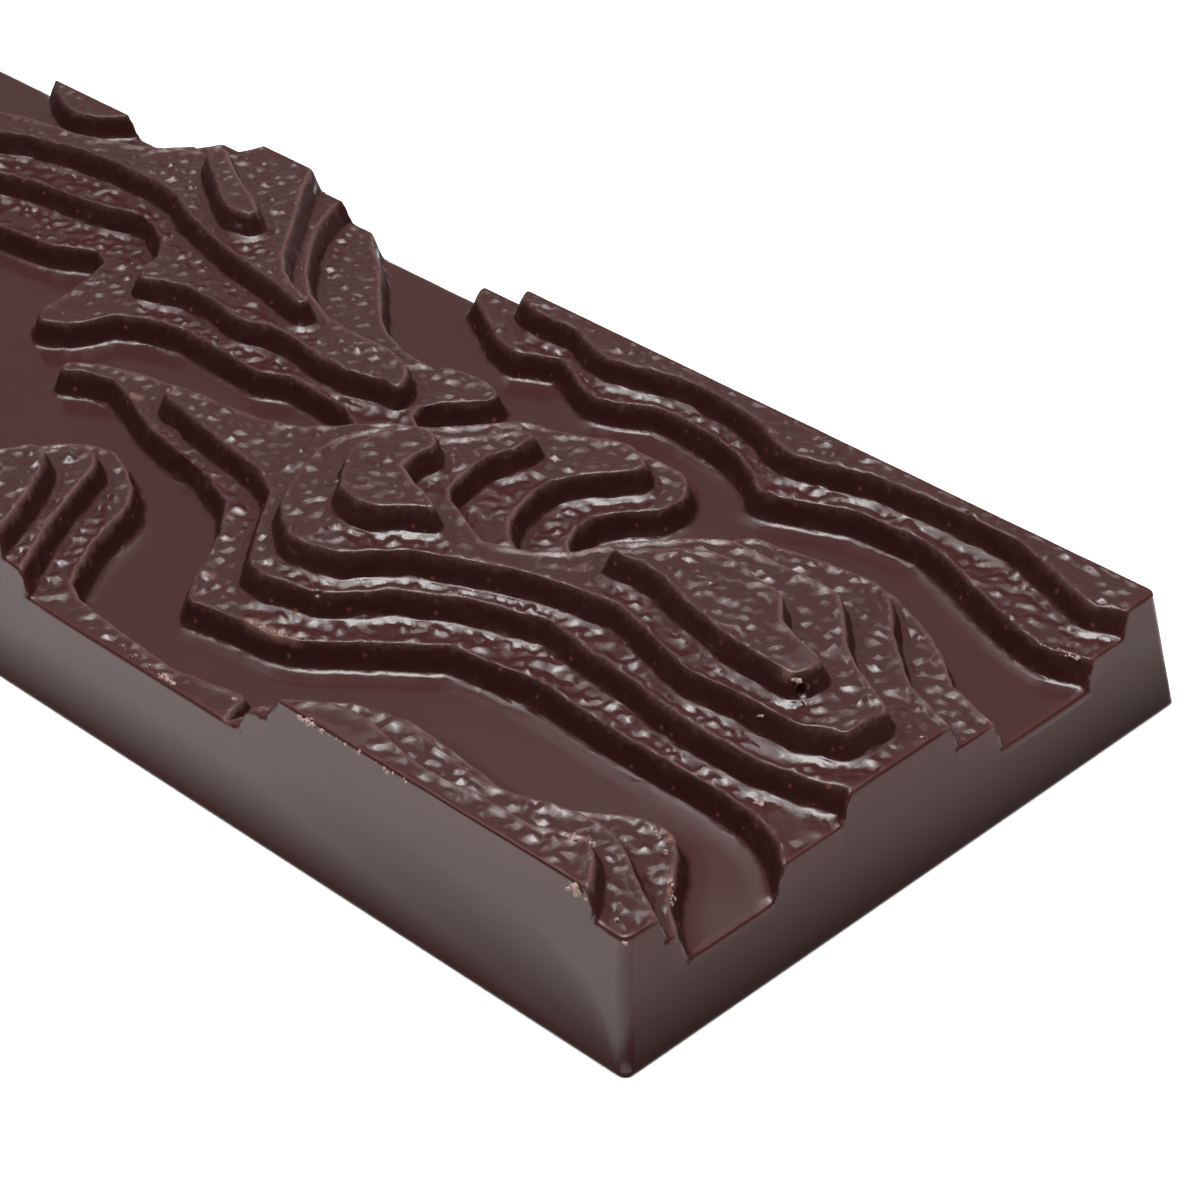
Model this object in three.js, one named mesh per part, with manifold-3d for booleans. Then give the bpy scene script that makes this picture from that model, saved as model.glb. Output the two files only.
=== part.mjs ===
// A bar of dark chocolate, cast in one piece. Its sides lean in so that it leaves the mould, and its face
// is a relief of hills: flat terraces, one on another, that rise from a smooth valley floor.
// Millimetres. X runs along the bar, Y across it and Z up. The origin is the middle of the underside.
import * as THREE from "three";
import { mergeVertices } from "three/addons/utils/BufferGeometryUtils.js";
import Module from "manifold-3d";

// Driving dimensions
const LENGTH = 155;
const WIDTH = 60;
const FLOOR = 5.7; // from the underside to the valley floor
const FIRST_STEP = 2.3; // from the valley floor to the lowest terrace
const STEP = 2.05; // from one terrace to the next
const LEVELS = 4; // terraces of the tallest hill
const WALL_RUN = 0.9; // how far a terrace wall leans out from its lip to its foot
const SIDE_DRAFT = 0.163; // how far a side of the bar leans in for each unit of height
const CORNER = 0.8; // radius of the upright corners
const LIP_ROUNDING = 0.6; // how far before and after a corner of a lip its rounding reaches
const ROOT = 0.2; // how far a terrace reaches into what carries it
const RELIEF_OFFSET = -0.45; // from the middle line of the bar to that of its relief

const HEIGHT = FLOOR + FIRST_STEP + (LEVELS - 1) * STEP;

// The corners of each terrace's lip seen from above. Points beyond the bar only lead the lip out over its
// side, where the sides of the bar trim it.
const OUT = WIDTH / 2 + 3;
const FRONT = LENGTH / 2 + 2.5;
const BACK = -LENGTH / 2 - 4.5;

const LOWEST = [
  // The great hill's foot, along its near lip to the back end and home along the far lip
  [
    [FRONT, -14.8], [76.7, -13.4], [74.7, -11.7], [72.8, -10.7], [70.6, -10], [67.2, -9.7],
    [58, -9.7], [49, -9.2], [45, -9.9], [41.3, -10.5], [38.5, -12.9], [35.5, -15.5], [33, -17.7],
    [30.7, -18.7], [28.7, -18.9], [26, -19.3], [22.9, -20], [21.4, -18.2], [17.6, -12.2],
    [14.4, -8.9], [10.6, -7.5], [5.5, -6.6], [1, -5.8],
    [-3, -4.2], [-6.2, -3.1], [-8.8, -3.8], [-10.8, -5.2], [-11.3, -4], [-9.2, -2.4], [-5, -0.9],
    [0, 0.3], [5, 0.8], [8.6, 0.8], [11.4, 2.3], [14, 3.9], [14.6, 4.9], [13, 6], [10.6, 7.1],
    [6.5, 7.3], [3.6, 7.4], [1.2, 6], [-3, 6.1], [-8.6, 6.4], [-12.1, 5.5], [-14.9, 3.9],
    [-15.6, 1.4], [-16.4, 0.2], [-18.6, -1.2], [-19.9, -0.2], [-20.5, 3], [-21.5, 6.5], [-22.7, 9.3],
    [-24.8, 10.2], [-28.2, 8], [-31, 7.5], [-35, 7.1], [-39, 6.4], [-43, 4.4], [-46.5, 0.8],
    [-50, -3.2], [-54.5, -5.5], [-59, -5.2], [-63, -3.2], [-67, -2.4], [-71.5, -3.8], [-76, -6],
    [BACK, -8], [BACK, 23.8], [-75, 23.2], [-70, 21.8], [-65.5, 19.4], [-61, 18.2], [-56.5, 19],
    [-52, 21], [-47, 22.4], [-42, 23.2], [-38, 24.8], [-35.4, 27], [-34, 29.5], [-33.5, OUT],
    [-10.8, OUT], [-10.4, 29.5], [-8, 27.4], [-4.8, 25.3], [-1.6, 22.3], [1.3, 19.7], [4, 17.8],
    [7.5, 16.7], [10.3, 16.3], [12.4, 17.4], [15, 18.1], [17.4, 17.7], [18.4, 16.6], [17.4, 15],
    [15.6, 13.2], [14.9, 11.4], [15.4, 10], [17.2, 9], [19, 9.1], [20.4, 10.6], [22.4, 13],
    [24, 15.3], [27, 17], [30, 18.8], [35, 18.8], [37.2, 18.9], [39, 17.6], [39.9, 15.8],
    [39.6, 13.6], [37.8, 11.7], [36.6, 9.4], [36.8, 7.2], [37.8, 5.2], [39.2, 4.2], [41, 4.4],
    [43, 5.7], [45, 7.8], [46.6, 10.2], [47.7, 13], [49.2, 15.4], [52, 16], [56, 16.5], [59.2, 17.4],
    [62, 16.6], [65.3, 15.2], [68.2, 13.4], [71, 11.2], [74.2, 10.1], [76.6, 9.5], [FRONT, 8.4],
  ],
  // Far ridge
  [
    [3.9, OUT], [4, 29.4], [5, 27.3], [8, 25.6], [11.2, 23.7], [13.8, 22.9], [15.6, 24], [17.6, 25],
    [19.4, 24.3], [21.6, 23], [24, 22.4], [26, 23.2], [28.4, 24.8], [31, 25.1], [35, 24.7],
    [38.6, 23.9], [41.4, 22.5], [43, 21.1], [44.4, 21.3], [47.4, 22.7], [50.4, 24.1], [57, 24.7],
    [60, 23.9], [64, 22.3], [68, 20.8], [71.2, 19.9], [73, 19.7], [75, 20.5], [77, 21.2],
    [FRONT, 22.4], [FRONT, OUT],
  ],
  // Far mound by the back end
  [
    [-55.5, OUT], [-54.6, 29.2], [-52, 27.5], [-49.6, 26.3], [-47, 26], [-45.2, 27], [-43.4, 29],
    [-42.6, OUT],
  ],
  // Near hill by the front end
  [
    [36.3, -OUT], [36.5, -28.8], [37.4, -26.6], [39, -24.4], [41, -22], [43.4, -20.2], [46, -19.1],
    [50, -19.3], [54, -19.8], [57, -20.3], [60, -19.5], [62.6, -17.9], [65, -16.2], [66.8, -15.4],
    [68.8, -15.7], [70.4, -17.2], [72, -19.4], [73.8, -21.6], [76, -23.2], [FRONT, -25.4],
    [FRONT, -OUT],
  ],
  // Middle near hill with its long low tongue
  [
    [36.9, -OUT], [36.6, -28.4], [35.9, -26], [35.4, -25.2], [33, -25.8], [29, -26.6], [24, -26.3],
    [20, -25.9], [17, -25.6], [14.8, -24.6], [13, -22], [11.6, -19.8], [10.6, -17.2], [9.6, -14.8],
    [7.6, -12.7], [5.2, -11.3], [2.6, -10.4], [0.4, -10.9], [-1.6, -12.8], [-3.6, -16], [-6, -20],
    [-8.6, -24.6], [-10.6, -29], [-11.4, -OUT],
  ],
  // Near hill by the back end
  [
    [-17.6, -OUT], [-19, -28.6], [-22.4, -25], [-27, -22.4], [-32, -20.4], [-36.5, -17.6],
    [-40.5, -14.6], [-45, -13.2], [-49.5, -14], [-53.2, -16.8], [-57, -20], [-62, -21.6],
    [-67, -20.6], [-72, -18], [-77, -16.8], [BACK, -16.6], [BACK, -OUT],
  ],
];

const SECOND = [
  // Great hill
  [
    [FRONT, -8.6], [76.4, -6.2], [75.2, -5.5], [72.8, -6.5], [68.7, -7.3], [63.8, -7.4], [59, -7.1],
    [56.5, -6.4], [51.5, -6], [46.3, -5.1], [43.5, -6.2], [40, -7.3], [37.5, -8.9], [35.3, -10.2],
    [33.4, -12.4], [31.6, -14.5], [28.9, -15.2], [26.6, -15.9], [24.7, -15.4], [22.6, -13],
    [20.4, -10.3], [18.4, -7.6], [15, -6.1], [10, -5.4], [5, -4.6], [1.8, -4.1], [0.8, -3.4],
    [2, -2.6], [6, -1.6], [10, -0.9], [12.8, 0.4], [14.6, 2.2], [16.2, 4.2], [17.6, 5.9], [19.6, 7],
    [21.4, 8.6], [23.2, 11], [25, 13.2], [27.8, 14], [30.5, 15.2], [33.2, 16.7], [35.4, 16.1],
    [36.8, 15], [35.6, 13.1], [33.8, 11], [32.9, 8.6], [33.2, 6.1], [33.8, 3.9], [34.7, 2.1],
    [36.2, 0.7], [38.2, -0.4], [40, -0.3], [41.8, 0.8], [43.2, 2.6], [44.4, 4.9], [46, 7],
    [47.4, 9], [48.5, 11.4],
    [49.6, 13.5], [52, 13.9], [55, 14.5], [58.5, 15.1], [61, 15.2], [63, 13.7], [65.2, 11.2],
    [67.9, 8.9], [70.6, 6.8], [73.4, 5.7], [76, 4.9], [FRONT, 3.6],
  ],
  // Long hill behind it
  [
    [13.9, 10], [12.2, 10], [9, 9], [5.7, 8.9], [2, 9.6], [-1.4, 9.4], [-4, 8.5], [-8, 9.1],
    [-11.1, 9.2], [-13.6, 8.3], [-15.5, 7.2], [-16.6, 8.6], [-17.2, 10.8], [-19.4, 13.1],
    [-22.2, 14.4], [-24.8, 14.6], [-27.5, 13.6], [-30.5, 13], [-34.5, 12.5], [-38.5, 11.5],
    [-42.5, 9.4], [-46, 5.8], [-49.5, 2.6], [-53.5, 0.8], [-58, 0.8], [-62, 2.4], [-66, 3.5],
    [-71, 2.6], [-76, 1], [BACK, 0], [BACK, 20], [-75, 19.6], [-70, 18], [-65.5, 15.8], [-61, 14.9],
    [-56.5, 15.5], [-52, 17.6], [-47, 19.2], [-42, 20.2], [-37, 21.8], [-33, 24], [-30.4, 26.6],
    [-29.2, 29], [-28.8, OUT], [-13.2, OUT], [-13.3, 28], [-11.6, 24.4], [-9, 21], [-6, 17.9],
    [-2.8, 15.4], [1, 13.9], [5, 13.5], [9, 13.7], [11.6, 13], [13.2, 11.5],
  ],
  // Far ridge
  [
    [9.4, OUT], [9.6, 29.2], [10.6, 27.5], [12.4, 26.6], [15.5, 26.7], [17.4, 27], [20, 25.9],
    [22.6, 25.1], [25, 25.8], [28, 26.9], [31, 27.3], [35, 26.9], [38.6, 26.3], [41.4, 25],
    [43.6, 24.5], [47, 25.6], [50.6, 26.7], [57, 27.2], [64, 27.2], [67.6, 26], [71, 24.8],
    [73.4, 24], [75, 25], [77, 25.6], [FRONT, 26.6], [FRONT, OUT],
  ],
  // Near hill by the front end
  [
    [38.3, -OUT], [38.6, -28.6], [39.8, -26.4], [41.6, -24.1], [43.6, -22.4], [46, -21.4],
    [50, -21.4], [54, -22], [56.6, -22.4], [60.4, -21.5], [64, -20.2], [66.6, -20.1], [69, -20.9],
    [71.6, -22.6], [74, -23.9], [76, -24.9], [FRONT, -27], [FRONT, -OUT],
  ],
  // Middle near hill
  [
    [14.2, -OUT], [13.9, -28.8], [11.6, -25.4], [9.6, -22.4], [8.2, -19.8], [6.8, -17], [5.6, -14.6],
    [4.2, -13.5], [2.4, -13.8], [0.8, -16], [-1.2, -19.6], [-3.4, -23.8], [-5.2, -28.6], [-6, -OUT],
  ],
  // Near hill by the back end
  [
    [-25.4, -OUT], [-26.4, -28.8], [-30, -25.6], [-35, -23], [-39.4, -19.8], [-43, -17.2],
    [-47, -16.9], [-50.2, -18.8], [-53.6, -22.4], [-58, -25], [-63, -25.4], [-68, -23.8],
    [-72.6, -21.6], [-77, -20.8], [BACK, -20.6], [BACK, -OUT],
  ],
];

const THIRD = [
  // Great hill
  [
    [72.9, -3], [71.4, -3.4], [70, -4.5], [66.3, -4.5], [63, -4.6], [60, -5], [57, -4.2],
    [53.5, -3.1], [50.5, -2.4], [47, -3], [43, -4], [39.8, -5.4], [36.5, -7], [34.4, -8],
    [32.5, -10.1], [31, -11.9], [28.4, -12.6], [26.4, -12.9], [24.4, -11.7], [22.6, -10.2],
    [21, -7.6], [19.4, -4.4], [18.8, -1.4], [19.4, 1.2], [21, 3.2], [23.4, 4.4], [25.4, 5.3],
    [26.8, 7.2], [28.4, 9.8], [29.6, 10.1], [29.9, 8.2], [29.1, 5.4], [29.5, 2.9], [29.9, 1.4],
    [30.4, 0], [31.6, -1.1], [33.5, -1.8], [35.2, -2.5], [37.4, -3.5], [39.2, -3], [41.4, -1.8],
    [43.4, 0.2], [44.6, 2.7],
    [46.4, 5.1], [48.3, 7.6], [50.6, 9.6], [54, 9.7], [58, 9.8], [61, 9.8], [63.4, 7.7], [65.6, 5.4],
    [68.2, 3.6], [71, 2.3], [73.2, 1.1], [73, -1],
  ],
  // Long hill behind it
  [
    [0.6, 11.2], [-2.6, 12.1], [-6.5, 12.7], [-11, 13.4], [-15, 14.4], [-18.6, 15.4], [-21.4, 16.8],
    [-25, 17.3], [-30, 17.1], [-34.5, 16.6], [-39, 15.4], [-43, 13.6], [-46.5, 10.8], [-50, 7.8],
    [-54, 6], [-58, 6.6], [-60.5, 8.6], [-59.6, 10.8], [-55.5, 12.2], [-51, 13.9], [-46.5, 16],
    [-42, 17.4], [-37, 18.2], [-31.6, 20.2], [-27, 23.2], [-23.6, 26.6], [-22.6, OUT],
    [-17.4, OUT], [-17, 28.6], [-14.6, 25.2], [-12.2, 22.6], [-9.6, 19.4], [-7, 16.3],
    [-4.6, 14.2], [-1.6, 12.8], [0.8, 12.2],
  ],
  // Back end
  [
    [BACK, 5.6], [-76, 6.2], [-72, 7.8], [-69.6, 10.4], [-70.6, 13.2], [-74.4, 15.2], [-78, 16],
    [BACK, 16.2],
  ],
  // Near hill by the front end
  [
    [41, -OUT], [41.1, -28.6], [42.2, -27.1], [44, -25.9], [46, -24.8], [48.4, -24.8], [52, -25.6],
    [56, -26.1], [60, -25.3], [64.5, -25.4], [66.6, -24.4], [68.4, -23.7], [70.2, -25], [71.8, -27],
    [73.2, -29.2], [74.4, -OUT],
  ],
  // Middle near hill
  [
    [11, -OUT], [10.7, -28.5], [8.9, -24.7], [7.2, -21.8], [5.4, -19.4], [3.8, -17.9], [2.4, -18.1],
    [1.2, -20.6], [-0.6, -24.4], [-2, -28.6], [-2.6, -OUT],
  ],
  // Near hill by the back end
  [
    [-33, -OUT], [-33.9, -28.8], [-37.6, -25.8], [-41.6, -22.4], [-45, -20.4], [-47.8, -21.8],
    [-50, -25], [-52.6, -28.4], [-54.6, -OUT],
  ],
];

const TOP = [
  // Great hill: the wide summit by the front end, then the narrow one
  [
    [47.2, 0.2], [50, 0.5], [52.5, 0.3], [55.8, -0.8], [58.4, -1.4], [61, -2.1], [64.5, -2.2],
    [67.4, -2.3], [67.9, -1], [67.8, 0.3], [64.7, 1.2], [62.4, 2], [61.2, 3.3], [60.2, 4.5],
    [57.9, 4.8], [55.4, 5.5], [53, 5.2], [51.2, 4.1], [49, 1.9],
  ],
  [
    [25.4, -6.2], [26.6, -7.7], [29, -8.2], [30.8, -7.6], [31.8, -6.4], [33.1, -5.3], [34, -4.9],
    [32.4, -4.1], [30, -3.5], [27.8, -2.5], [27.3, -0.6], [27.6, 1.2], [26, 2.6], [24.2, 2.2],
    [23, 0.4], [22.9, -2], [23.8, -4.4],
  ],
  // Long hill behind it
  [
    [-23.2, 22.2], [-21, 20.2], [-18, 18.5], [-15.5, 16.9], [-13.4, 16], [-11.5, 16.3], [-11.2, 17.2],
    [-13.5, 18.6], [-17, 20.2], [-20.2, 21.8], [-22, 23],
  ],
];

const wasm = await Module();
wasm.setup();

// A closed three.js geometry as a solid that can be joined and cut.
function solid(geometry) {
  geometry.deleteAttribute("normal");
  geometry.deleteAttribute("uv");
  const merged = mergeVertices(geometry, 1e-4);
  const vertProperties = merged.attributes.position.array;
  const triVerts = new Uint32Array(merged.index.array);
  return new wasm.Manifold(new wasm.Mesh({ numProp: 3, vertProperties, triVerts }));
}

// A lip seen from above: straight from corner to corner. Corners that stick out are rounded, and
// corners that turn in stay sharp.
function outline(lip) {
  const corners = lip.map(([x, y]) => new THREE.Vector2(x, y + RELIEF_OFFSET));
  if (THREE.ShapeUtils.isClockWise(corners)) corners.reverse();
  const shape = new THREE.Shape();
  corners.forEach((corner, i) => {
    const before = corners.at(i - 1);
    const after = corners[(i + 1) % corners.length];
    const start = partWay(corner, before);
    const end = partWay(corner, after);
    if (i === 0) shape.moveTo(start.x, start.y);
    else shape.lineTo(start.x, start.y);
    const turn = corner.clone().sub(before).cross(after.clone().sub(corner));
    if (turn > 0) shape.quadraticCurveTo(corner.x, corner.y, end.x, end.y);
    else shape.lineTo(corner.x, corner.y);
  });
  return shape;
}

// A point a short way along the straight stretch from one corner to the next.
function partWay(corner, next) {
  const share = Math.min(LIP_ROUNDING / corner.distanceTo(next), 0.4);
  return corner.clone().lerp(next, share);
}

// One terrace: a flat lid at the given height, and walls that lean out down to its foot and a little
// below it. The lower half mirrors the upper one inside the bar.
function terrace(lip, top, step) {
  const geometry = new THREE.ExtrudeGeometry(outline(lip), {
    depth: ROOT,
    bevelThickness: step + ROOT,
    bevelSize: (WALL_RUN * (step + ROOT)) / step,
    bevelSegments: 1,
    curveSegments: 3,
  });
  return solid(geometry.translate(0, 0, top - step - 2 * ROOT));
}

// The room inside the mould: an upright block with rounded corners, whose sides are then leaned in.
function mould() {
  const x = LENGTH / 2 - CORNER;
  const y = WIDTH / 2 - CORNER;
  const plan = new THREE.Shape();
  plan.absarc(x, y, CORNER, 0, Math.PI / 2);
  plan.absarc(-x, y, CORNER, Math.PI / 2, Math.PI);
  plan.absarc(-x, -y, CORNER, Math.PI, 1.5 * Math.PI);
  plan.absarc(x, -y, CORNER, 1.5 * Math.PI, 2 * Math.PI);
  const options = { depth: HEIGHT, bevelEnabled: false, curveSegments: 5 };
  const geometry = new THREE.ExtrudeGeometry(plan, options);
  const position = geometry.attributes.position;
  for (let i = 0; i < position.count; i++) {
    const lean = SIDE_DRAFT * position.getZ(i);
    position.setX(i, position.getX(i) - Math.sign(position.getX(i)) * lean);
    position.setY(i, position.getY(i) - Math.sign(position.getY(i)) * lean);
  }
  return solid(geometry);
}

const slab = new THREE.BoxGeometry(LENGTH + 10, WIDTH + 10, 2 * FLOOR);
const pieces = [solid(slab)];
[LOWEST, SECOND, THIRD, TOP].forEach((terraces, level) => {
  const step = level === 0 ? FIRST_STEP : STEP;
  const top = FLOOR + FIRST_STEP + level * STEP;
  terraces.forEach((lip) => pieces.push(terrace(lip, top, step)));
});
const bar = wasm.Manifold.union(pieces).intersect(mould());

// Back to three.js, with a flat normal for each face.
const mesh = bar.getMesh();
const geometry = new THREE.BufferGeometry();
geometry.setAttribute("position", new THREE.BufferAttribute(mesh.vertProperties, 3));
geometry.setIndex(new THREE.BufferAttribute(mesh.triVerts, 1));
const faceted = geometry.toNonIndexed();
faceted.computeVertexNormals();

const chocolate = new THREE.MeshStandardMaterial({ color: 0x3a2422, roughness: 0.35, metalness: 0 });
const barMesh = new THREE.Mesh(faceted, chocolate);
barMesh.name = "chocolate_bar";

const part = new THREE.Group();
part.add(barMesh);
export default part;
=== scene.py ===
"""A bar of dark chocolate, cast in one piece, on a pale studio floor.

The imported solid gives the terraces, the valley floor and the drafted sides. The relief operator copies
it, rounds it as cast chocolate is rounded, and works the hammered tops, the wavy lips, the soft hollows
along the wall feet and the air holes into its surface. The crumbs are a second, tiny piece.
"""

import math

import bmesh
import bpy
import numpy as np
from mathutils import Matrix, Vector, noise


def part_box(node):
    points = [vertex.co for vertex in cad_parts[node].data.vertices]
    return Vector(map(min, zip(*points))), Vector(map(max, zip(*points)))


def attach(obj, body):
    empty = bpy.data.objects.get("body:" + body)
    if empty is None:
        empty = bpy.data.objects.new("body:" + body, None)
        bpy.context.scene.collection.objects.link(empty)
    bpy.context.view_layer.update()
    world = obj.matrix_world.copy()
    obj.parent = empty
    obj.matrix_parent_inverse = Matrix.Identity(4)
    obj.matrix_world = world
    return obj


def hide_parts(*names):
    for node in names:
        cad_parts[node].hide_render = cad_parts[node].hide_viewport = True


bl_info = {
    "name": "Chocolate bar with a terraced relief",
    "version": (1, 0, 0),
    "blender": (4, 5, 0),
    "location": "View3D > Sidebar > Chocolate",
    "description": "Builds the dressed chocolate bar, its studio and its camera",
    "category": "Object",
}

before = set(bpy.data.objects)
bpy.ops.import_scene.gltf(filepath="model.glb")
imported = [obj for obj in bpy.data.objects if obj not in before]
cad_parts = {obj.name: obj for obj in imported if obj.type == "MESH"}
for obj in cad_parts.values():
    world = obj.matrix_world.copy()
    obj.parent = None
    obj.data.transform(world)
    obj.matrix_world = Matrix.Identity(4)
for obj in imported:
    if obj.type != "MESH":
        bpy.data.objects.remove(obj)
BAR = "chocolate_bar"
BAR_LOW, BAR_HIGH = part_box(BAR)
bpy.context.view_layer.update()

MM = 0.001
FLOOR = 5.7  # height of the valley floor, in millimetres
TERRACES = (8.0, 10.05, 12.1, 14.15)  # heights of the terraces above the underside
LEVELS = (FLOOR,) + TERRACES
STEEPEST_SIDE = 0.25  # upright part of a normal below which a face is a side of the bar
DRAFT = 0.163  # how far a side leans in for each unit of height
FAR_WAY = Vector((-0.2, 1, 0))  # the way that the raised lips of the far walls face

# How the solid is read and kept to, in millimetres
EDGE_STEP = 0.2  # spacing of the points that stand for an edge
REACH = 2.4  # how far from an edge its distance is still noted
FAR = 9.0  # stands for the distance of a place with no edge near it
SLIVER = 0.02  # mean width below which a face beside an edge is passed over
RIM_ZONE = 0.5  # how far in from a side the bar's rim may lie
TOP_GAP = 0.02  # how far the finished skin stays below the solid's top


class ChocolateSizes(bpy.types.PropertyGroup):
    """Sizes of the forms that the relief operator works into the solid."""

    grain: bpy.props.FloatProperty(
        name="Finest form", description="Spacing of the points that carry the relief",
        default=0.18 * MM, min=0.1 * MM, unit="LENGTH")
    faces: bpy.props.IntProperty(
        name="Faces", description="Triangles kept in the finished bar", default=192000, min=20000)
    bump_height: bpy.props.FloatProperty(
        name="Bump height", description="Height of the tallest bumps on a hammered top",
        default=0.29 * MM, min=0.0, unit="LENGTH")
    bump_radius: bpy.props.FloatProperty(
        name="Bump radius", description="Radius of a usual bump on a hammered top",
        default=0.60 * MM, min=0.1 * MM, unit="LENGTH")
    bump_spacing: bpy.props.FloatProperty(
        name="Bump spacing", description="Distance between neighbouring bumps",
        default=1.2 * MM, min=0.5 * MM, unit="LENGTH")
    hollow_width: bpy.props.FloatProperty(
        name="Hollow width", description="Width over which the floor rises softly to the foot of a wall",
        default=1.7 * MM, min=0.1 * MM, unit="LENGTH")
    hollow_rise: bpy.props.FloatProperty(
        name="Hollow rise", description="How far the floor rises at the foot of a wall",
        default=0.13 * MM, min=0.0, unit="LENGTH")
    fillet_width: bpy.props.FloatProperty(
        name="Fillet width", description="Width of the narrow, steep fillet right at the foot of a wall",
        default=0.4 * MM, min=0.1 * MM, unit="LENGTH")
    fillet_rise: bpy.props.FloatProperty(
        name="Fillet rise", description="Height of that fillet",
        default=0.24 * MM, min=0.0, unit="LENGTH")


class ChocolateColours(bpy.types.PropertyGroup):
    """Colours and finish of the chocolate, its crumbs and the studio."""

    dark: bpy.props.FloatVectorProperty(
        name="Dark chocolate", description="Colour of the smooth chocolate",
        default=(0.035, 0.0105, 0.0094), size=3, subtype="COLOR", min=0.0, max=1.0)
    red: bpy.props.FloatVectorProperty(
        name="Cocoa speck", description="Colour of the specks that show in the walls",
        default=(0.13, 0.036, 0.022), size=3, subtype="COLOR", min=0.0, max=1.0)
    worn: bpy.props.FloatVectorProperty(
        name="Worn lip", description="Colour of lips and rims where the skin has rubbed off",
        default=(0.090, 0.048, 0.043), size=3, subtype="COLOR", min=0.0, max=1.0)
    rim: bpy.props.FloatVectorProperty(
        name="Rim", description="Colour of the thin line where the relief meets the sides",
        default=(0.058, 0.0165, 0.0145), size=3, subtype="COLOR", min=0.0, max=1.0)
    stain: bpy.props.FloatVectorProperty(
        name="Pale spot", description="Colour of the few pale spots in the skin",
        default=(0.17, 0.088, 0.072), size=3, subtype="COLOR", min=0.0, max=1.0)
    crumb: bpy.props.FloatVectorProperty(
        name="Crumb", description="Colour of loose crumbs",
        default=(0.36, 0.235, 0.205), size=3, subtype="COLOR", min=0.0, max=1.0)
    floor: bpy.props.FloatVectorProperty(
        name="Studio floor", description="Colour of the floor",
        default=(0.86, 0.86, 0.86), size=3, subtype="COLOR", min=0.0, max=1.0)
    roughness: bpy.props.FloatProperty(
        name="Roughness", description="Roughness of the smooth chocolate",
        default=0.30, min=0.0, max=1.0, subtype="FACTOR")


class Wire:
    """A shader socket that takes part in Python sums."""

    def __init__(self, shader, socket):
        self.shader = shader
        self.socket = socket

    def _sum(self, operation, first, second):
        return self.shader.node("ShaderNodeMath", {"operation": operation}, {0: first, 1: second})

    def __add__(self, other):
        return self._sum("ADD", self, other)

    def __radd__(self, other):
        return self._sum("ADD", other, self)

    def __sub__(self, other):
        return self._sum("SUBTRACT", self, other)

    def __rsub__(self, other):
        return self._sum("SUBTRACT", other, self)

    def __mul__(self, other):
        return self._sum("MULTIPLY", self, other)

    def __rmul__(self, other):
        return self._sum("MULTIPLY", other, self)


class Shader:
    """The nodes of one material."""

    def __init__(self, name):
        self.material = bpy.data.materials.new(name)
        self.material.use_nodes = True
        self.tree = self.material.node_tree
        self.tree.nodes.clear()

    def node(self, kind, settings=None, inputs=None, output=0):
        """Adds a node, gives it its settings and then its inputs, and returns one of its outputs."""
        made = self.tree.nodes.new(kind)
        for key, value in (settings or {}).items():
            setattr(made, key, value)
        for key, value in (inputs or {}).items():
            if isinstance(value, Wire):
                self.tree.links.new(value.socket, made.inputs[key])
            else:
                made.inputs[key].default_value = value
        return Wire(self, made.outputs[output]) if made.outputs else None

    def fade(self, value, low, high):
        """Zero below low, one above high and a smooth slope between them."""
        return self.node(
            "ShaderNodeMapRange", {"interpolation_type": "SMOOTHSTEP"},
            {"Value": value, "From Min": low, "From Max": high})

    def noise(self, place, size, detail=2.0, roughness=0.5):
        """Cloudy noise with spots of about the given size in metres."""
        return self.node(
            "ShaderNodeTexNoise", {},
            {"Vector": place, "Scale": 1.0 / size, "Detail": detail, "Roughness": roughness}, "Fac")

    def blend(self, share, first, second):
        """The first colour where share is zero and the second where it is one."""
        return self.node(
            "ShaderNodeMix", {"data_type": "RGBA"}, {0: share, 6: first, 7: second}, 2)

    def finish(self, surface):
        self.node("ShaderNodeOutputMaterial", {}, {"Surface": surface})
        return self.material


def rgba(colour):
    return (colour[0], colour[1], colour[2], 1.0)


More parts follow.
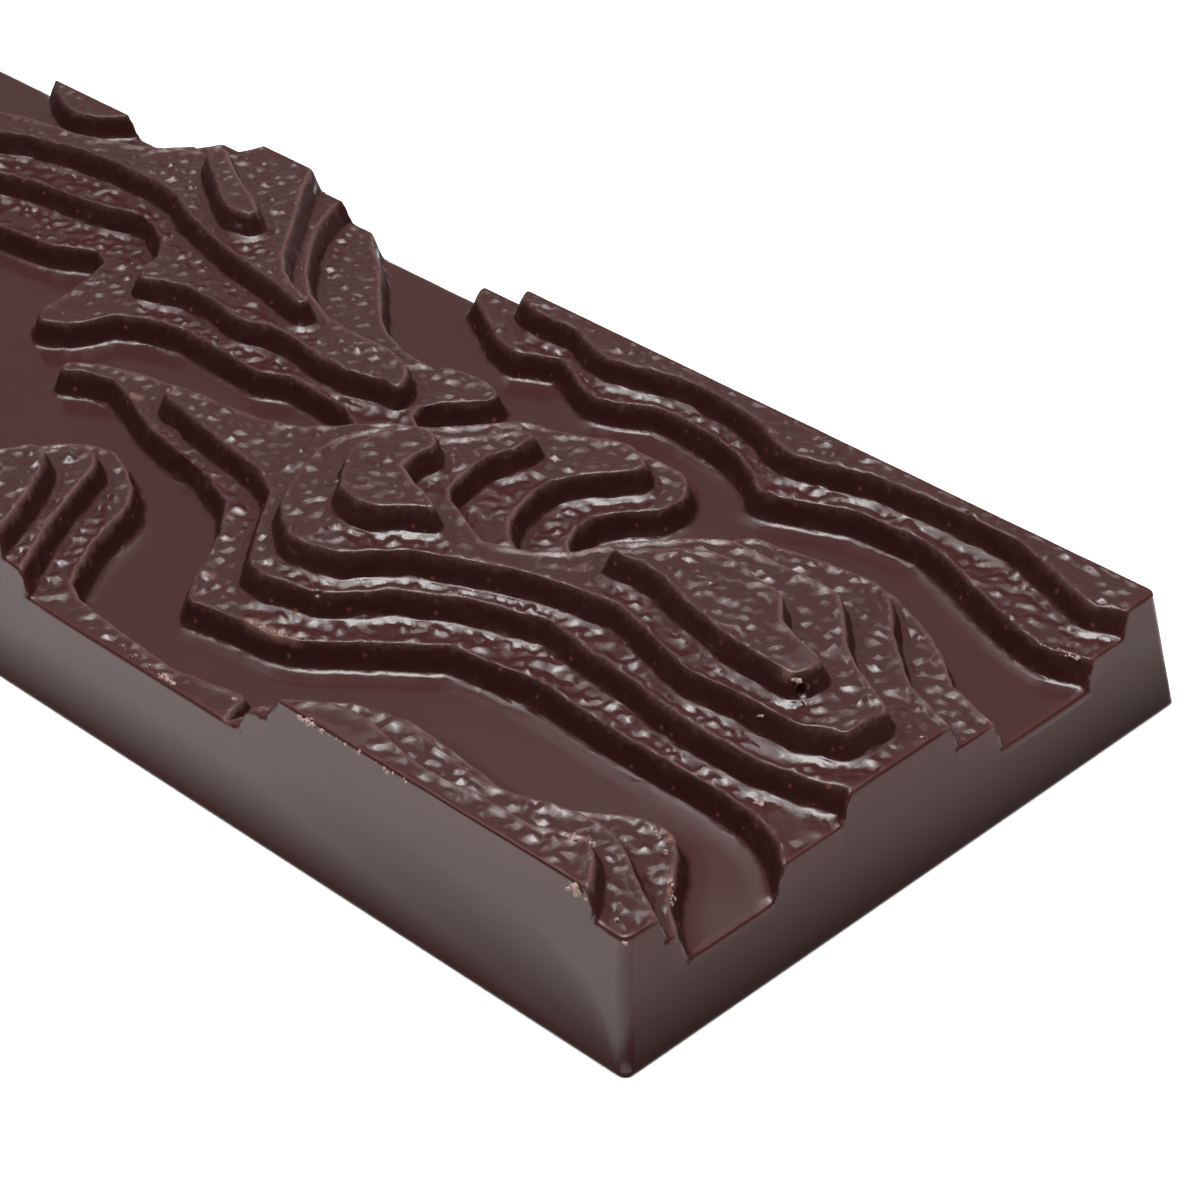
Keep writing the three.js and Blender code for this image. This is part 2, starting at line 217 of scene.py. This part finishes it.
def chocolate_material(colours):
    """Satin dark chocolate: glossy floor and bumps, walls darkened by painted shade and dotted with red
    specks, worn lips.
    """
    shader = Shader("dark_chocolate")
    place = shader.node("ShaderNodeTexCoord", {}, {}, "Object")
    lip, ridge, top, wall, rim, gloss, stain, shadow = (
        shader.node("ShaderNodeAttribute", {"attribute_name": name}, {}, "Fac")
        for name in ("lip", "ridge", "hammered", "wall", "rim", "gloss", "stain", "shadow"))

    clouds = shader.noise(place, 6 * MM, 3.0)
    broad = shader.noise(place, 0.9 * MM, 2.0)
    fine = shader.noise(place, 0.35 * MM, 2.0)
    grit = shader.noise(place, 0.16 * MM, 1.0)

    # Cocoa specks: the cores of scattered cells, mostly in the walls
    cells = shader.node(
        "ShaderNodeTexVoronoi", {}, {"Vector": place, "Scale": 1 / (1.3 * MM)}, "Distance")
    speck = (1 - shader.fade(cells, 0.07, 0.20)) * shader.fade(shader.noise(place, 2.2 * MM), 0.44, 0.54)
    speck = speck * (0.08 + 0.92 * wall)

    worn = lip * (0.4 + 0.6 * shader.fade(fine, 0.42, 0.60)) * (0.45 + 0.55 * shader.fade(clouds, 0.35, 0.6))
    shade = shader.blend(clouds * 0.4, rgba(colours.dark), rgba([c * 1.4 for c in colours.dark]))
    shade = shader.blend(rim * 0.75, shade, rgba(colours.rim))
    # Painted shade: the inner walls get a darker colour that stands in for the shade they lie in under the
    # overhead lamps
    shade = shader.blend(wall * 0.8, shade, rgba([c * 0.72 for c in colours.dark]))
    shade = shader.blend(speck * 0.75, shade, rgba(colours.red))
    shade = shader.blend(worn * 0.6, shade, rgba(colours.worn))
    shade = shader.blend(ridge * 0.8, shade, rgba([c * 1.25 for c in colours.worn]))
    shade = shader.blend(stain * (0.6 + 0.8 * (fine - 0.5)), shade, rgba(colours.stain))
    shade = shader.blend(shadow, shade, rgba([c * 0.6 for c in colours.dark]))

    rough = colours.roughness + 0.25 * worn + 0.06 * (clouds - 0.5) + 0.25 * wall + 0.15 * stain
    height = (broad - 0.5) * 0.5 * top + (fine - 0.5) * (0.3 * top + 0.3 * lip) + (grit - 0.5) * 0.15 * lip
    dents = shader.node(
        "ShaderNodeBump", {}, {"Height": height, "Strength": 1.0, "Distance": 0.16 * MM}, "Normal")
    skin = shader.node(
        "ShaderNodeBsdfPrincipled", {},
        {"Base Color": shade, "Roughness": rough, "Normal": dents, "IOR": 1.12,
         "Coat IOR": 1.6, "Coat Roughness": 0.16, "Coat Weight": gloss * (1 - 0.8 * worn)})
    return shader.finish(skin)


def crumb_material(colours):
    """Dry pale crumbs."""
    shader = Shader("pale_crumb")
    place = shader.node("ShaderNodeTexCoord", {}, {}, "Object")
    spots = shader.noise(place, 0.3 * MM, 2.0)
    shade = shader.blend(spots, rgba([c * 0.55 for c in colours.crumb]), rgba(colours.crumb))
    skin = shader.node(
        "ShaderNodeBsdfPrincipled", {}, {"Base Color": shade, "Roughness": 0.45 + 0.3 * spots})
    return shader.finish(skin)


def floor_material(colours):
    """Pale matt studio floor."""
    shader = Shader("studio_floor")
    skin = shader.node(
        "ShaderNodeBsdfPrincipled", {}, {"Base Color": rgba(colours.floor), "Roughness": 0.7})
    return shader.finish(skin)


class PlanMap:
    """Numbers over the bar as seen from above, on a fine square grid. All sizes are in millimetres."""

    STEP = 0.15
    MARGIN = 2

    def __init__(self, fill):
        self.west = BAR_LOW.x / MM - self.MARGIN
        self.south = BAR_LOW.y / MM - self.MARGIN
        around = 2 * self.MARGIN / self.STEP
        columns = int((BAR_HIGH.x - BAR_LOW.x) / MM / self.STEP + around) + 2
        rows = int((BAR_HIGH.y - BAR_LOW.y) / MM / self.STEP + around) + 2
        self.cells = np.full((columns, rows), float(fill))

    def patch(self, x, y, reach):
        """The grid's cells near a point, and how far each lies from it along x and y."""
        a = max(int((x - reach - self.west) / self.STEP), 0)
        b = max(int((y - reach - self.south) / self.STEP), 0)
        c = int((x + reach - self.west) / self.STEP) + 2
        d = int((y + reach - self.south) / self.STEP) + 2
        cells = self.cells[a:c, b:d]
        across = self.west + (a + np.arange(cells.shape[0])) * self.STEP - x
        along = self.south + (b + np.arange(cells.shape[1])) * self.STEP - y
        return cells, across[:, None], along[None, :]

    def near(self, x, y, reach):
        """Notes the distance to one more point."""
        cells, dx, dy = self.patch(x, y, reach)
        np.minimum(cells, np.sqrt(dx * dx + dy * dy), out=cells)

    def raise_bump(self, x, y, long, short, turn, height):
        """Adds a smooth bump with two radii, turned by an angle. Bumps merge without adding up."""
        cells, dx, dy = self.patch(x, y, max(long, short))
        u = (dx * math.cos(turn) + dy * math.sin(turn)) / long
        v = (dy * math.cos(turn) - dx * math.sin(turn)) / short
        rise = np.clip(1 - u * u - v * v, 0, 1) ** 1.5 * height
        np.maximum(cells, rise + 0.35 * cells, out=cells)

    def read(self, x, y):
        """The numbers at many places, between the grid's cells too."""
        u = np.clip((x - self.west) / self.STEP, 0, self.cells.shape[0] - 1.001)
        v = np.clip((y - self.south) / self.STEP, 0, self.cells.shape[1] - 1.001)
        i, j = u.astype(int), v.astype(int)
        s, t = u - i, v - j
        low = self.cells[i, j] * (1 - s) + self.cells[i + 1, j] * s
        high = self.cells[i, j + 1] * (1 - s) + self.cells[i + 1, j + 1] * s
        return low * (1 - t) + high * t


def smooth(value, low, high):
    share = np.clip((value - low) / (high - low), 0, 1)
    return share * share * (3 - 2 * share)


def merged_copy():
    """The solid's mesh with its corners joined."""
    solid = bmesh.new()
    solid.from_mesh(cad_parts[BAR].data)
    bmesh.ops.remove_doubles(solid, verts=solid.verts, dist=0.002 * MM)
    return solid


def edge_maps(solid):
    """For each level, how far a place lies from the foot of a wall and from a lip at that level."""
    feet = {level: PlanMap(FAR) for level in LEVELS}
    lips = {level: PlanMap(FAR) for level in LEVELS}
    far_lips = {level: PlanMap(FAR) for level in LEVELS}
    rims = PlanMap(FAR)
    for edge in solid.edges:
        if len(edge.link_faces) != 2:
            continue
        flat, steep = sorted(edge.link_faces, key=lambda f: -f.normal.z)
        if flat.normal.z < 0.99 or steep.normal.z > 0.9:
            continue
        a, b = (v.co / MM for v in edge.verts)
        if steep.calc_area() / MM ** 2 < SLIVER * (a - b).length:
            continue
        height = (a.z + b.z) / 2
        level = min(LEVELS, key=lambda z: abs(z - height))
        kind = (lips if edge.is_convex else feet)[level]
        if steep.normal.z < STEEPEST_SIDE:
            inward = min(BAR_HIGH[i] / MM - DRAFT * height - abs((a[i] + b[i]) / 2) for i in (0, 1))
            if inward > RIM_ZONE:
                continue
            kind = rims
        kinds = [kind]
        if kind is lips[level] and steep.normal.dot(FAR_WAY) > 0:
            kinds.append(far_lips[level])
        count = max(int((b - a).length / EDGE_STEP), 1)
        for i in range(count + 1):
            p = a.lerp(b, i / count)
            for kind in kinds:
                kind.near(p.x, p.y, REACH)
    return feet, lips, far_lips, rims


# Places on the tops that stayed smooth: x, y, radius and level
SMOOTH_PATCHES = (
    (73.5, -9.2, 2.4, 8.0), (66.5, -12.2, 1.2, 8.0), (75.5, -6.6, 2.2, 10.05), (40, -3.4, 2.6, 12.1),
    (47, -27.2, 3.0, 12.1), (66.4, -1.0, 1.5, 14.15), (18, 10.4, 1.6, 8.0),
    (33.8, -27.4, 2.6, 8.0),
)

# Air holes and chips: x, y, z, radius and depth
AIR_HOLES = (
    (-15.4, 18.6, 12.9, 1.0, 1.1), (-4.2, 13.6, 11.0, 0.8, 0.8), (11.6, 12.6, 9.0, 0.9, 0.9),
    (68.6, -3.2, 12.7, 0.75, 0.8), (67.6, -3.2, 13.5, 0.5, 0.4), (68.9, -2.7, 13.4, 0.35, 0.3),
    (32.0, -8.8, 12.2, 0.35, 0.35), (31.5, -15.1, 9.9, 0.4, 0.4), (24.2, 3.6, 12.1, 0.7, 0.4),
    (68.32, -2.7, 12.9, 0.6, 1.3),
)

# Pale spots in the skin, and stretches of lip that are scuffed pale: x, y, z and radius
STAINS = (
    (21.6, -17.1, 8.0, 0.55), (-2.8, -4.0, 8.0, 0.6), (9.7, -0.4, 8.0, 0.55), (35.9, 0.6, 12.1, 0.35),
    (24.2, 4.0, 12.1, 0.5), (28.6, -19.1, 8.0, 0.7), (29.9, -19.1, 8.0, 0.8), (31.2, -18.8, 8.0, 0.8),
    (32.3, -18.4, 8.0, 0.6), (67.6, -25.1, 12.1, 0.5), (68.4, -24.2, 12.1, 0.5), (71.8, -19.6, 8.0, 0.5),
    (72.8, -20.6, 8.0, 0.5), (68.9, -16.4, 8.0, 0.5), (35.0, -9.2, 11.3, 0.3), (66.9, -2.9, 13.9, 0.6),
)


def hammer_map(sizes):
    """The heights of a hammered top: scattered smooth bumps with a few thin ridges among them."""
    chance = np.random.default_rng(7)
    tops = PlanMap(0)
    spacing = sizes.bump_spacing / MM
    radius = sizes.bump_radius / MM
    height = sizes.bump_height / MM
    bump_share = 0.85
    ridge_share = 0.22
    x = BAR_LOW.x / MM
    row = 0
    while x < BAR_HIGH.x / MM:
        y = BAR_LOW.y / MM + (row % 2) * spacing / 2
        while y < BAR_HIGH.y / MM:
            px, py = (x, y) + chance.uniform(-0.45, 0.45, 2) * spacing
            if chance.random() < bump_share:
                long = radius * chance.uniform(0.9, 1.8)
                short = radius * chance.uniform(0.7, 1.1)
                turn = chance.uniform(-0.5, 1.9)
                tops.raise_bump(px, py, long, short, turn, height * chance.uniform(0.3, 1.0))
            if chance.random() < ridge_share:
                turn = chance.uniform(0, math.pi)
                tops.raise_bump(px, py, radius * 2.2, radius * 0.4, turn, height * 0.4)
            y += spacing
        x += spacing * 0.87
        row += 1
    return tops


def cast_surface(solid, sizes):
    """The solid as a fine even skin of faces, in a new object."""
    mesh = bpy.data.meshes.new("chocolate")
    solid.to_mesh(mesh)
    bar = bpy.data.objects.new("chocolate", mesh)
    bpy.context.scene.collection.objects.link(bar)
    skin = bar.modifiers.new("Skin", "REMESH")
    skin.mode = "VOXEL"
    skin.voxel_size = sizes.grain * 1
    apply_modifiers(bar)
    return bar


def apply_modifiers(obj):
    """Makes the mesh what its modifiers show, and drops them."""
    shown = obj.evaluated_get(bpy.context.evaluated_depsgraph_get())
    finished = bpy.data.meshes.new_from_object(shown)
    obj.modifiers.clear()
    old = obj.data
    obj.data = finished
    bpy.data.meshes.remove(old)


def vertex_numbers(mesh):
    """Places in millimetres and normals of all vertices."""
    places = np.empty(len(mesh.vertices) * 3, np.float32)
    mesh.vertices.foreach_get("co", places)
    normals = np.empty(len(mesh.vertices) * 3, np.float32)
    mesh.vertices.foreach_get("normal", normals)
    return places.reshape(-1, 3).astype(float) / MM, normals.reshape(-1, 3).astype(float)


def nearest_level(z):
    heights = np.array(LEVELS)
    return np.abs(z[:, None] - heights[None, :]).argmin(1)


def by_level(maps, places):
    """Reads each place in the map of its own level."""
    level = nearest_level(places[:, 2])
    found = np.full(len(places), FAR)
    for i, height in enumerate(LEVELS):
        here = level == i
        found[here] = maps[height].read(places[here, 0], places[here, 1])
    return found


def slow_noise(places, size, seed):
    """Smooth noise from -1 to 1 at many places."""
    shift = Vector((seed * 17.3, seed * 5.1, seed * 9.7))
    scaled = places / size
    return np.array([noise.noise(Vector(p) + shift) for p in scaled])


def distance(places, x, y, z):
    """How far each place lies from a point."""
    east, north, up = places.T
    return np.sqrt((east - x) ** 2 + (north - y) ** 2 + (up - z) ** 2)


def hammered_tops(places, sizes, on_top, lip, roll):
    """How far the tops rise or fall: bumps and pebbles that fade at a lip and on a smooth patch."""
    x, y, z = places.T
    calm = np.zeros(len(x))
    for px, py, radius, height in SMOOTH_PATCHES:
        apart = np.hypot(x - px, y - py)
        near = (np.abs(z - height) < 0.5) * (1 - smooth(apart, radius * 0.7, radius * 1.3))
        calm = np.maximum(calm, near)
    pebbles = slow_noise(places, 0.9, 6)
    hammered = hammer_map(sizes).read(x, y) * (0.8 + 0.45 * roll) + 0.13 * pebbles
    depth = sizes.bump_height / MM * 0.6
    inside = smooth(lip, 0.0, 0.45)
    return on_top * inside * ((hammered - depth) * (1 - 0.85 * calm) - 0.2 * depth * calm + 0.05 * roll)


def fill_feet(places, sizes, foot, above, level, bead, clear):
    """Lays a narrow fillet along the foot of each wall, beaded on the terraces and even on the floor."""
    share = np.clip(1 - foot / (sizes.fillet_width / MM), 0, 1)
    share = np.where(above < 0.1, share, np.ceil(share))
    beads = np.where(level > 0, np.clip(0.5 + 0.7 * bead, 0, 1.2), 1)
    fillet = share ** 2 * sizes.fillet_rise / MM * beads * clear * smooth(above, -0.25, -0.1)
    missing = fillet - (places[:, 2] - np.array(LEVELS)[level])
    blend = 0.12 * share ** 2
    places[:, 2] += (missing + np.sqrt(missing ** 2 + blend ** 2) - blend) / 2 * (fillet > 0)


def sink_air_holes(places, normals):
    """Dents the skin where air was caught in the mould or a chip came off."""
    for x, y, z, radius, depth in AIR_HOLES:
        dent = np.clip(1 - (distance(places, x, y, z) / radius) ** 2, 0, 1) ** 1.5 * depth
        places -= normals * dent[:, None]


def work_surface(bar, maps, sizes):
    """Moves the skin: bumps on the tops, wavy lips, soft hollows at the feet and air holes."""
    feet, lips, far_lips, rims = maps
    places, normals = vertex_numbers(bar.data)
    x, y, z = places.T
    upright = normals[:, 2]
    flat = smooth(upright, 0.72, 0.95)
    level = nearest_level(z)
    above = z - np.array(LEVELS)[level]
    foot = by_level(feet, places)
    lip = by_level(lips, places)
    far_lip = by_level(far_lips, places)
    rim = rims.read(x, y)
    clear = smooth(rim, 0.1, 0.6)
    roll = slow_noise(places, 3.2, 1)
    bead = slow_noise(places, 1.6, 2)

    at_foot = (1 - smooth(above, 0.15, 0.6)) * (above > -0.1) * (foot < 0.6)
    on_top = np.maximum(flat, at_foot) * (level > 0) * (np.abs(above) < 0.6)
    rise = hammered_tops(places, sizes, on_top, lip, roll)

    # A soft raised line along the lips, thicker in places, and a thin one along the far lips
    rise += on_top * np.exp(-((lip - 0.3) / 0.3) ** 2) * np.clip(0.02 + 0.13 * bead, -0.04, 1)
    rise += on_top * np.exp(-((far_lip - 0.1) / 0.15) ** 2) * 0.06

    # The valley floor rises softly towards a wall, and every foot has its fillet
    valley = flat * (level == 0)
    width = sizes.hollow_width / MM
    rise += valley * (np.clip(1 - foot / width, 0, 1) ** 2 * sizes.hollow_rise / MM + 0.012 * roll)
    places[:, 2] += rise * clear
    fill_feet(places, sizes, foot, above, level, bead, clear)

    # Walls and sides have the faint unevenness of a soft mould
    ripple = slow_noise(places, 1.2, 3) * 0.10 + slow_noise(places, 4.0, 4) * 0.08
    inner_wall = (1 - flat) * (upright > STEEPEST_SIDE) * (z > FLOOR - 0.2)
    outer_side = (upright < STEEPEST_SIDE) * (z > 0.3)
    push = ripple * (inner_wall + on_top * np.exp(-(lip / 0.3) ** 2)) * clear - 0.03 * outer_side

    # The bar's rim is a little soft and wavy
    soft = np.exp(-(rim / 0.4) ** 2) * (z > FLOOR - 0.6)
    places[:, 2] -= soft * (0.07 + 0.03 * roll)
    places += normals * push[:, None]
    sink_air_holes(places, normals)

    low, high = np.array(BAR_LOW) / MM, np.array(BAR_HIGH) / MM - (0, 0, TOP_GAP)
    places = np.clip(places, low, high)
    bar.data.vertices.foreach_set("co", (places * MM).astype(np.float32).ravel())
    bar.data.update()


def soften(bar, rounds, strength):
    """Rounds corners as cast chocolate is rounded."""
    ease = bar.modifiers.new("Soften", "SMOOTH")
    ease.factor = strength
    ease.iterations = rounds
    apply_modifiers(bar)


def thin_out(bar, faces):
    """Keeps the given number of triangles, most of them where the surface curves."""
    bar.data.calc_loop_triangles()
    fewer = bar.modifiers.new("Fewer faces", "DECIMATE")
    fewer.ratio = min(1.0, faces / len(bar.data.loop_triangles))
    fewer.use_collapse_triangulate = True
    apply_modifiers(bar)


def shade_by_broad_faces(bar):
    """Shades the skin smoothly, led by its broad faces, so that flat ground looks flat up to a wall."""
    bar.data.shade_smooth()
    lead = bar.modifiers.new("Broad faces lead", "WEIGHTED_NORMAL")
    lead.mode = "FACE_AREA"
    lead.weight = 60
    apply_modifiers(bar)


def mark_surface(bar, maps):
    """Stores on the mesh where its lips, tops, walls and sides are, for the material."""
    _, lips, far_lips, rims = maps
    places, normals = vertex_numbers(bar.data)
    x, y, z = places.T
    upright = normals[:, 2]
    level = nearest_level(z)
    flat = smooth(upright, 0.6, 0.95)
    above = z - np.array(LEVELS)[level]
    lip = (1 - smooth(by_level(lips, places), 0.1, 0.6)) * smooth(above, -0.5, -0.15) * (level > 0)
    ridge = np.exp(-((by_level(far_lips, places) - 0.05) / 0.13) ** 2) * smooth(above, -0.4, -0.15)
    rim = (1 - smooth(rims.read(x, y), 0.15, 0.65)) * (z > FLOOR - 0.5) * (upright > 0)
    side = 1 - smooth(upright, 0.22, 0.3)
    wall = (1 - flat) * (1 - side) * (z > FLOOR - 0.3)
    across = np.abs(normals[:, 1])
    lit = smooth(z, 2.0 - 1.7 * across, 6.5 - 3.3 * across)
    stain = np.zeros(len(x))
    for px, py, pz, radius in STAINS:
        apart = distance(places, px, py, pz)
        stain = np.maximum(stain, 1 - smooth(apart, radius * 0.5, radius * 1.2))
    marks = {
        "lip": lip,
        "ridge": ridge * (level > 0),
        "rim": rim,
        "hammered": flat * (level > 0),
        "wall": wall,
        "stain": stain,
        "gloss": (1 - side) * (1 - wall) * (0.9 - 0.45 * rim) + side * lit * (0.31 + 0.49 * across),
        "shadow": side * (1 - smooth(z, 0.2, 4.5)) * (0.9 - 0.6 * across),
    }
    for name, values in marks.items():
        attribute = bar.data.attributes.new(name, "FLOAT", "POINT")
        attribute.data.foreach_set("value", values.astype(np.float32))


class CHOCOLATE_OT_relief(bpy.types.Operator):
    """Casts the bar: the solid with a hammered, rounded and slightly worn chocolate skin"""

    bl_idname = "chocolate.relief"
    bl_label = "Cast the bar"

    def execute(self, context):
        sizes = context.scene.chocolate_sizes
        solid = merged_copy()
        maps = edge_maps(solid)
        bar = cast_surface(solid, sizes)
        solid.free()
        soften(bar, 3, 0.5)
        work_surface(bar, maps, sizes)
        soften(bar, 1, 0.5)
        thin_out(bar, sizes.faces)
        mark_surface(bar, maps)
        shade_by_broad_faces(bar)
        bar.data.materials.clear()
        bar.data.materials.append(chocolate_material(context.scene.chocolate_colours))
        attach(bar, "root")
        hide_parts(BAR)
        return {"FINISHED"}


# Where crumbs lie: the two ends of a line in millimetres, the spread, how many and their radius
CRUMB_TRAILS = (
    ((70.9, -28.05, 11.7), (71.9, -28.05, 11.2), 0.35, 16, 0.26),
    ((73.9, -27.1, 9.9), (74.1, -27.2, 9.9), 0.15, 4, 0.22),
    ((75.6, -28.2, 9.7), (75.8, -28.2, 9.5), 0.1, 3, 0.14),
    ((66.9, -25.1, 12.0), (69.3, -24.4, 12.0), 0.25, 16, 0.17),
    ((67.0, -16.4, 7.9), (70.3, -18.2, 7.9), 0.2, 18, 0.14),
    ((71.6, -19.6, 7.9), (73.6, -21.6, 7.9), 0.22, 14, 0.15),
    ((69.9, -9.3, 7.9), (70.6, -9.1, 7.9), 0.25, 9, 0.19),
    ((66.6, -5.3, 11.4), (66.9, -5.3, 11.4), 0.12, 4, 0.16),
    ((67.6, -2.9, 13.75), (68.1, -2.8, 13.65), 0.15, 8, 0.16),
    ((68.3, -2.8, 12.6), (68.7, -2.8, 12.5), 0.12, 6, 0.14),
    ((75.2, 2.0, 9.9), (75.5, 2.3, 9.9), 0.12, 5, 0.14),
    ((44.5, -28.0, 11.8), (46.6, -28.0, 11.8), 0.3, 26, 0.20),
    ((46.6, -28.0, 11.8), (56.0, -28.0, 11.8), 0.25, 22, 0.14),
    ((34.6, -26.3, 7.95), (35.4, -26.5, 7.95), 0.15, 8, 0.20),
    ((28.9, -28.2, 7.95), (30.6, -28.2, 7.9), 0.2, 18, 0.18),
    ((25.6, -28.1, 7.95), (25.7, -28.1, 7.95), 0.05, 3, 0.18),
    ((28.2, -19.0, 7.8), (32.6, -18.3, 7.8), 0.28, 34, 0.14),
    ((22.0, -27.6, 7.9), (28.2, -27.9, 7.9), 0.3, 7, 0.12),
    ((72.0, 19.3, 7.9), (75.4, 19.9, 7.9), 0.25, 16, 0.12),
)


class CHOCOLATE_OT_crumbs(bpy.types.Operator):
    """Scatters the few pale crumbs that cling to the chipped lips"""

    bl_idname = "chocolate.crumbs"
    bl_label = "Scatter the crumbs"

    def execute(self, context):
        chance = np.random.default_rng(3)
        heap = bmesh.new()
        for start, end, spread, count, radius in CRUMB_TRAILS:
            for _ in range(count):
                place = Vector(start).lerp(Vector(end), chance.random())
                place.x += chance.normal(0, spread * 0.5)
                place.y += chance.normal(0, spread * 0.5)
                place.z -= abs(chance.normal(0, 0.06))
                size = radius * chance.uniform(0.45, 1.4)
                turn = Matrix.Rotation(chance.uniform(0, 6), 4, Vector(chance.normal(size=3)))
                stretch = Matrix.Diagonal((*chance.uniform(0.5, 1.3, 3), 1))
                move = Matrix.Translation(place * MM) @ turn @ stretch
                made = bmesh.ops.create_icosphere(heap, subdivisions=1, radius=size * MM, matrix=move)
                for corner in made["verts"]:
                    corner.co += Vector(chance.normal(0, 0.22, 3)) * size * MM
        mesh = bpy.data.meshes.new("crumbs")
        heap.to_mesh(mesh)
        heap.free()
        crumbs = bpy.data.objects.new("crumbs", mesh)
        context.scene.collection.objects.link(crumbs)
        crumbs.data.materials.append(crumb_material(context.scene.chocolate_colours))
        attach(crumbs, "root")
        return {"FINISHED"}


# Lamps nested above the bar, so that their reflection fades outwards. Each has a name, a height and a
# width in metres, and a brightness in the units of a white wall lit to one.
SOFTBOXES = (
    ("overhead_glow", 0.83, 1.5, 0.5),
    ("overhead_wide", 0.82, 1.05, 1.6),
    ("overhead_middle", 0.81, 0.7, 2.3),
    ("overhead_core", 0.80, 0.4, 6.0),
)
AIR_BRIGHTNESS = 0.20
FLOOR_SIZE = 4.0  # in metres
FLOOR_GAP = 0.05 * MM  # between the floor and the bar's underside
CAMERA_PLACE = (199.73, -157.95, 156.56)  # in millimetres
CAMERA_AIM = (-0.57944, 0.59523, -0.55673)
SENSOR_WIDTH = 36.0  # in millimetres, as the focal length
FOCAL_LENGTH = 107.28


def softbox(name, height, width, brightness):
    """A square lamp that faces down over the middle of the bar."""
    lamp = bpy.data.lights.new(name, "AREA")
    lamp.shape = "SQUARE"
    lamp.size = width
    lamp.energy = brightness * math.pi * width * width
    holder = bpy.data.objects.new(name, lamp)
    holder.location = (0, 0, height)
    return holder


def studio_floor(colours):
    """A wide floor just under the bar."""
    ground = bmesh.new()
    bmesh.ops.create_grid(ground, x_segments=1, y_segments=1, size=FLOOR_SIZE)
    bmesh.ops.translate(ground, verts=ground.verts, vec=(0, 0, BAR_LOW.z - FLOOR_GAP))
    mesh = bpy.data.meshes.new("studio_floor")
    ground.to_mesh(mesh)
    ground.free()
    mesh.materials.append(floor_material(colours))
    return bpy.data.objects.new("studio_floor", mesh)


def studio_air():
    """The faint even light from all sides."""
    world = bpy.data.worlds.new("studio_air")
    world.use_nodes = True
    background = world.node_tree.nodes["Background"]
    background.inputs["Color"].default_value = (1, 1, 1, 1)
    background.inputs["Strength"].default_value = AIR_BRIGHTNESS
    return world


def studio_camera():
    """A camera beyond the bar's near corner, looking down over it."""
    lens = bpy.data.cameras.new("camera")
    lens.sensor_width = SENSOR_WIDTH
    lens.lens = FOCAL_LENGTH
    lens.clip_start = 0.01
    camera = bpy.data.objects.new("camera", lens)
    camera.location = Vector(CAMERA_PLACE) * MM
    camera.rotation_mode = "QUATERNION"
    camera.rotation_quaternion = Vector(CAMERA_AIM).to_track_quat("-Z", "Y")
    return camera


class CHOCOLATE_OT_studio(bpy.types.Operator):
    """Sets up the pale floor, the soft lights and the camera"""

    bl_idname = "chocolate.studio"
    bl_label = "Set up the studio"

    def execute(self, context):
        scene = context.scene
        floor = studio_floor(scene.chocolate_colours)
        scene.collection.objects.link(floor)
        for numbers in SOFTBOXES:
            scene.collection.objects.link(softbox(*numbers))
        scene.world = studio_air()
        scene.view_settings.view_transform = "Standard"
        scene.camera = studio_camera()
        scene.collection.objects.link(scene.camera)
        return {"FINISHED"}


class CHOCOLATE_PT_panel(bpy.types.Panel):
    """Buttons and settings of the chocolate bar"""

    bl_idname = "CHOCOLATE_PT_panel"
    bl_label = "Chocolate bar"
    bl_space_type = "VIEW_3D"
    bl_region_type = "UI"
    bl_category = "Chocolate"

    def draw(self, context):
        layout = self.layout
        for operator in OPERATORS:
            layout.operator(operator.bl_idname)
        for group in (context.scene.chocolate_sizes, context.scene.chocolate_colours):
            for name in group.__annotations__:
                layout.prop(group, name)


OPERATORS = (CHOCOLATE_OT_relief, CHOCOLATE_OT_crumbs, CHOCOLATE_OT_studio)
CLASSES = (ChocolateSizes, ChocolateColours) + OPERATORS + (CHOCOLATE_PT_panel,)


def register():
    for cls in CLASSES:
        bpy.utils.register_class(cls)
    bpy.types.Scene.chocolate_sizes = bpy.props.PointerProperty(type=ChocolateSizes)
    bpy.types.Scene.chocolate_colours = bpy.props.PointerProperty(type=ChocolateColours)


def unregister():
    del bpy.types.Scene.chocolate_colours
    del bpy.types.Scene.chocolate_sizes
    for cls in reversed(CLASSES):
        bpy.utils.unregister_class(cls)


def main():
    register()
    bpy.ops.chocolate.relief()
    bpy.ops.chocolate.crumbs()
    bpy.ops.chocolate.studio()


if __name__ == "__main__":
    main()
